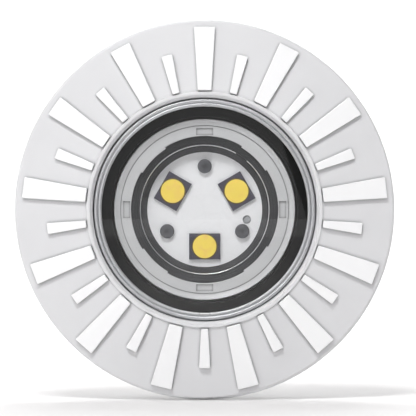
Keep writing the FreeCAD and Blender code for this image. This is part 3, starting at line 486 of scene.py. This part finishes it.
def solder_mask(name, main_hex, track_hex, rough=0.38):
    material, tree, place = new_material(name)
    islands = put(tree, "ShaderNodeTexVoronoi", {
        "Vector": place, "Scale": scale_for(island_mm), "Randomness": 0.8,
    }, feature="DISTANCE_TO_EDGE")
    tracks = put(tree, "ShaderNodeMapRange", {
        "Value": islands.outputs["Distance"], "From Min": 0.03, "From Max": 0.05,
    }, interpolation_type="SMOOTHSTEP")
    mix = put(tree, "ShaderNodeMixRGB", {
        "Fac": tracks.outputs["Result"], "Color1": linear(main_hex), "Color2": linear(track_hex),
    })
    peel = put(tree, "ShaderNodeTexNoise", {
        "Vector": place, "Scale": scale_for(peel_mm), "Detail": 1.0,
    })
    lacquer = put(tree, "ShaderNodeBump", {
        "Height": peel.outputs["Fac"], "Strength": 0.3, "Distance": 0.01 * MM,
    })
    copper = put(tree, "ShaderNodeBump", {
        "Height": tracks.outputs["Result"], "Strength": 0.35, "Distance": 0.02 * MM,
        "Normal": lacquer.outputs["Normal"],
    })
    shader = put(tree, "ShaderNodeBsdfPrincipled", {
        "Base Color": mix.outputs["Color"], "Roughness": rough,
        "Normal": copper.outputs["Normal"], "IOR": 1.55,
    })
    show(tree, shader.outputs["BSDF"])
    return material


made["white_mask"] = solder_mask("white_solder_mask", "#F6F7F9", "#F8F9FB")
made["green_mask"] = solder_mask("green_solder_mask", "#1F6A3C", "#2A7D49", rough=0.3)
print("finishes so far:", len(made))

# %% [markdown]
# ## LEDs
#
# Each LED is a dark ceramic tile with a round pool of phosphor in clear silicone. Phosphor is
# a powder, so its yellow is grainy and a little more orange where the layer is thick. Light
# sinks into the silicone and comes back out, which subsurface scattering gives, and a thin
# clear coat stands for the cured silicone's skin. Phosphor also turns the blue part of room
# light into yellow, so it looks brighter than any yellow paint: a little emission stands in
# for that, a painted glow that shines whatever the room light is.

# %% LED finishes
powder_mm = 0.45  # real phosphor grains are a hundredth of this, too fine to show
patch_mm = 4      # where the layer is thicker


def phosphor():
    material, tree, place = new_material("phosphor_in_silicone")
    powder = put(tree, "ShaderNodeTexNoise", {
        "Vector": place, "Scale": scale_for(powder_mm), "Detail": 3.0,
    })
    patch = put(tree, "ShaderNodeTexNoise", {
        "Vector": place, "Scale": scale_for(patch_mm), "Detail": 2.0,
    })
    grain = put(tree, "ShaderNodeMixRGB", {
        "Fac": powder.outputs["Fac"], "Color1": linear("#FBDD50"), "Color2": linear("#F8DE72"),
    })
    thick = put(tree, "ShaderNodeMapRange", {
        "Value": patch.outputs["Fac"], "From Min": 0.5, "From Max": 0.75, "To Max": 0.7,
    })
    mix = put(tree, "ShaderNodeMixRGB", {
        "Fac": thick.outputs["Result"], "Color1": grain.outputs["Color"],
        "Color2": linear("#F1C57A"),
    })
    shader = put(tree, "ShaderNodeBsdfPrincipled", {
        "Base Color": mix.outputs["Color"], "Roughness": 0.4, "IOR": 1.41,
        "Subsurface Weight": 0.15, "Subsurface Radius": (0.6 * MM, 0.5 * MM, 0.2 * MM),
        "Subsurface Scale": 1.0, "Coat Weight": 0.2, "Coat Roughness": 0.15,
        # Painted glow: the emission lights the phosphor as if it shone by itself.
        "Emission Color": linear("#FFD75A"), "Emission Strength": 0.09,
    })
    show(tree, shader.outputs["BSDF"])
    return material


made["phosphor"] = phosphor()
made["ceramic"] = moulded(
    "fired_dark_ceramic", "#4C4958", "#43404E", rough=(0.4, 0.5), grain_mm=0.25,
)
made["ceramic_rim"] = moulded("silicone_stained_rim", "#6E5B26", "#5E4E28", rough=(0.3, 0.4))
print("finishes so far:", len(made))

# %% [markdown]
# ## Small driver parts
#
# These sit behind the heat sink. The choke is a ferrite ring wound all over with enamelled
# copper, so the copper is what shows. The capacitors are aluminium cans in a shrunk sleeve,
# and the two leads are silicone insulated. They share the plastic and metal functions, with
# their own colours.

# %% Driver finishes
made["enamelled_copper"] = turned_metal(
    "enamelled_copper", "#B4632C", "#A3561F", rough=(0.22, 0.32), stretch=0.0,
)
made["sleeve"] = moulded("shrunk_sleeve", "#1C2A44", "#22324F", rough=(0.2, 0.3))
made["lead_silicone"] = moulded("lead_silicone", "#A3231C", "#941F1A", rough=(0.35, 0.45))
print("all finishes:", len(made))

# %% [markdown]
# ## Which piece gets which finish
#
# A CAD node keeps its shape and only has its material swapped. One table says what each piece
# is made of, as a parts list would, and a loop applies it.

# %% Dress the CAD pieces
finish_of = {
    "face_trim": "white_abs",
    "wall_flange": "wall_abs",
    "wall_collar": "wall_abs",
    "wall_gasket": "epdm",
    "lens_bezel": "stainless",
    "index_key": "white_key",
    "lens": "clear_lens",
    "lens_gasket": "epdm",
    "seat_gasket": "epdm",
    "lamp_housing": "housing_nylon",
    "heat_sink": "aluminium",
    "heat_sink_screws": "plated_steel",
    "thermal_pad": "silicone_pad",
    "led_board": "white_mask",
    "led_packages": "ceramic",
    "led_phosphors": "phosphor",
    "board_screws": "black_oxide",
    "locating_pin": "aluminium",
    "baffle_cone": "dark_nylon",
    "engine_cup": "dark_nylon",
    "snap_ring": "spring_steel",
    "retaining_ring": "grey_abs",
    "driver_standoffs": "brass",
    "driver_board": "green_mask",
    "driver_screws": "plated_steel",
    "driver_choke": "enamelled_copper",
    "driver_capacitors": "sleeve",
    "bridge_rectifier": "black_epoxy",
    "driver_chip": "black_epoxy",
    "terminal_blocks": "green_nylon",
    "terminal_screws": "plated_steel",
    "board_socket": "white_nylon",
    "led_leads": "lead_silicone",
    "gland_body": "black_nylon",
    "gland_o_ring": "epdm",
    "gland_locknut": "black_nylon",
    "gland_seal": "neoprene",
    "gland_washer": "acetal",
    "gland_nut": "black_nylon",
}
for node_name, finish in finish_of.items():
    piece = nodes[node_name]
    piece.data.materials.clear()
    piece.data.materials.append(made[finish])
print("dressed", len(finish_of), "of", len(nodes), "CAD pieces")

# %% [markdown]
# ## Pieces that touch
#
# The lens lies flat on its gasket, so two surfaces are in the same place, and a renderer picks
# one or the other from point to point. The gasket is drawn in by five hundredths of a
# millimetre, about as much as the lens would press into it. The shape itself isn't touched:
# a modifier does it.

# %% Press the gasket in
press = nodes["lens_gasket"].modifiers.new("pressed_by_lens", "DISPLACE")
press.strength = -0.05 * MM
press.mid_level = 0.0
print("gasket drawn in by, mm:", -press.strength / MM)

# %% [markdown]
# ## Rims round the phosphor
#
# The silicone is poured inside a thin dam that stops it from running over the tile. The dam
# is only a tenth of a millimetre high, too fine for the CAD model, so it is drawn here as a
# flat ring on each LED. Each ring is a circle spun into a small rounded section. It rides on
# the lamp, so it turns with it.

# %% Dams round the phosphor
dam_inner_r = 5.3 * MM
dam_outer_r = 5.85 * MM
dam_height = 0.12 * MM
dam_steps = 96
led_angles = (30, 150, 270)
phosphor_r = 5.35 * MM


def dam(name, middle):
    """Low ring round one LED's phosphor; middle is the centre of its foot."""
    section = [(dam_inner_r, 0), (dam_inner_r, dam_height), (dam_outer_r - dam_height, dam_height),
               (dam_outer_r, dam_height / 3), (dam_outer_r, 0)]
    mesh = bmesh.new()
    loops = []
    for step in range(dam_steps):
        turn = math.tau * step / dam_steps
        loops.append([
            mesh.verts.new((
                middle.x + r * math.cos(turn), middle.y - h, middle.z + r * math.sin(turn),
            )) for r, h in section
        ])
    for here, ahead in zip(loops, loops[1:] + loops[:1]):
        for i in range(len(section)):
            j = (i + 1) % len(section)
            mesh.faces.new((here[i], here[j], ahead[j], ahead[i]))
    bmesh.ops.recalc_face_normals(mesh, faces=mesh.faces)
    data = bpy.data.meshes.new(name)
    mesh.to_mesh(data)
    mesh.free()
    data.materials.append(made["ceramic_rim"])
    ring = bpy.data.objects.new(name, data)
    bpy.context.scene.collection.objects.link(ring)
    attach(ring, "lamp")
    return ring


led_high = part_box("led_phosphors")[1]
led_circle_r = (led_high.x - phosphor_r) / math.cos(math.radians(led_angles[0]))
for number, angle in enumerate(led_angles, 1):
    turn = math.radians(angle)
    foot = Vector((led_circle_r * math.cos(turn), led_high.y, led_circle_r * math.sin(turn)))
    dam(f"phosphor_dam_{number}", foot)
print("LED circle radius, mm:", round(led_circle_r / MM, 2))

# %% [markdown]
# ## The studio
#
# The light stands on its trim's lowest edge, on a white table that curves up into a white
# background, the usual sweep of a product studio. The sweep is one grid whose side view is a
# flat run, a quarter circle and an upright run. Its paint is one-sided: seen from behind it is
# clear, as if the wall had been rolled away for a viewer who walks round the back.

# %% Floor and background
floor_z = cad_low.z - 0.2 * MM
sweep_front = -6.0
sweep_start = 0.9
sweep_radius = 0.6
sweep_top = 2.2
sweep_side = 3.0
sweep_steps = 24


def sweep_profile():
    """(y, z) points of the studio sweep, from in front of the camera to its top."""
    points = [(sweep_front, floor_z), (sweep_start, floor_z)]
    for step in range(1, sweep_steps + 1):
        turn = math.radians(90 * step / sweep_steps)
        y = sweep_start + sweep_radius * math.sin(turn)
        points.append((y, floor_z + sweep_radius * (1 - math.cos(turn))))
    points.append((sweep_start + sweep_radius, floor_z + sweep_top))
    return points


mesh = bmesh.new()
rows = [
    [mesh.verts.new((side * sweep_side, y, z)) for side in (-1, 1)]
    for y, z in sweep_profile()
]
for near, far in zip(rows, rows[1:]):
    face = mesh.faces.new((near[0], near[1], far[1], far[0]))
    face.smooth = True
sweep_mesh = bpy.data.meshes.new("studio_sweep")
mesh.to_mesh(sweep_mesh)
mesh.free()
sweep = bpy.data.objects.new("studio_sweep", sweep_mesh)
bpy.context.scene.collection.objects.link(sweep)

material, tree, place = new_material("painted_table")
paint = put(tree, "ShaderNodeBsdfPrincipled", {"Base Color": linear("#E6E5E5"), "Roughness": 0.8})
one_sided = put(tree, "ShaderNodeMixShader", {
    0: put(tree, "ShaderNodeNewGeometry").outputs["Backfacing"], 1: paint.outputs["BSDF"],
    2: put(tree, "ShaderNodeBsdfTransparent").outputs["BSDF"],
})
show(tree, one_sided.outputs["Shader"])
sweep_mesh.materials.append(material)
print("table at z =", round(floor_z, 4))

# %% [markdown]
# ## Light
#
# A soft box above the viewer is the key: it shades the ribs and leaves their soft shadows
# below them. A grid in front of it keeps its light off the near table, which the lens would
# mirror. A weaker box at the left keeps that side brighter. The room is bright behind the
# light and dim on the viewer's side, so the table washes out to clean white while the front
# stays a shade darker. One box washes the background, and one comes from behind and above,
# so the light's shadow spreads softly towards the viewer. A big dim panel stands behind the
# viewer. The lens mirrors it everywhere but at its right side, where the panel ends, and
# that edge is what tells the eye that there is a lens at all.
#
# The lamps are hidden from direct view, so a viewer may walk round without meeting them.

# %% Lights and room


def soft_box(name, place, aim, size, watts, roll=0.0):
    """Square area light at a place, turned to face a point."""
    data = bpy.data.lights.new(name, "AREA")
    data.shape = "SQUARE"
    data.size = size
    data.energy = watts
    lamp = bpy.data.objects.new(name, data)
    bpy.context.scene.collection.objects.link(lamp)
    lamp.location = place
    turn = (Vector(aim) - Vector(place)).to_track_quat("-Z", "Y").to_matrix()
    lamp.rotation_euler = (turn @ Matrix.Rotation(roll, 3, "Z")).to_euler()
    lamp.visible_camera = False
    return lamp


key_box = soft_box("key_box", (-0.25, -1.25, 1.5), (0, 0, 0.03), 0.55, 2.75)
key_box.data.spread = math.radians(60)
soft_box("side_box", (-1.3, -1.2, 0.5), (0, 0, 0), 0.8, 5)
background_box = soft_box("background_box", (0, 0.5, 1.6), (0, 1.5, 0.4), 1.0, 12)
background_box.data.spread = math.radians(100)
soft_box("back_box", (0, 0.9, 1.2), (0, -0.15, floor_z), 0.8, 9)
panel_x, panel_z = -0.278, -0.137
panel_roll = math.radians(18)
soft_box("viewer_panel", (panel_x, -2.0, panel_z), (panel_x, 0, panel_z), 1.2, 1.8, panel_roll)

dim_room, bright_room = 0.14, 0.88
room = bpy.data.worlds.new("room")
room.use_nodes = True
sky = room.node_tree
direction = put(sky, "ShaderNodeSeparateXYZ", {
    "Vector": put(sky, "ShaderNodeTexCoord").outputs["Generated"],
})
strength = put(sky, "ShaderNodeMapRange", {
    "Value": direction.outputs["Y"], "From Min": -0.5, "From Max": 0.1,
    "To Min": dim_room, "To Max": bright_room,
}, interpolation_type="SMOOTHSTEP")
sky.links.new(strength.outputs["Result"], sky.nodes["Background"].inputs["Strength"])
sky.nodes["Background"].inputs["Color"].default_value = linear("#FFFFFF")
bpy.context.scene.world = room

# %% [markdown]
# ## Camera
#
# The camera looks straight at the face from well back with a long lens, so circles at
# different depths stay round and concentric. It stands a hair right of and above the axis.
# The trim fills nine tenths of the frame's width.

# %% Camera
distance = 1.6
frame_width = (cad_high.x - cad_low.x) * 1.098
aside = 1.5 * MM
above = 0.7 * MM

camera_data = bpy.data.cameras.new("camera")
camera_data.sensor_width = 36.0
camera_data.lens = camera_data.sensor_width * distance / frame_width
camera = bpy.data.objects.new("camera", camera_data)
bpy.context.scene.collection.objects.link(camera)
camera.location = (aside, -distance, above)
camera.rotation_euler = (math.radians(90), 0, 0)
bpy.context.scene.camera = camera
bpy.context.scene.view_settings.view_transform = "Standard"
print("lens:", round(camera_data.lens), "mm")
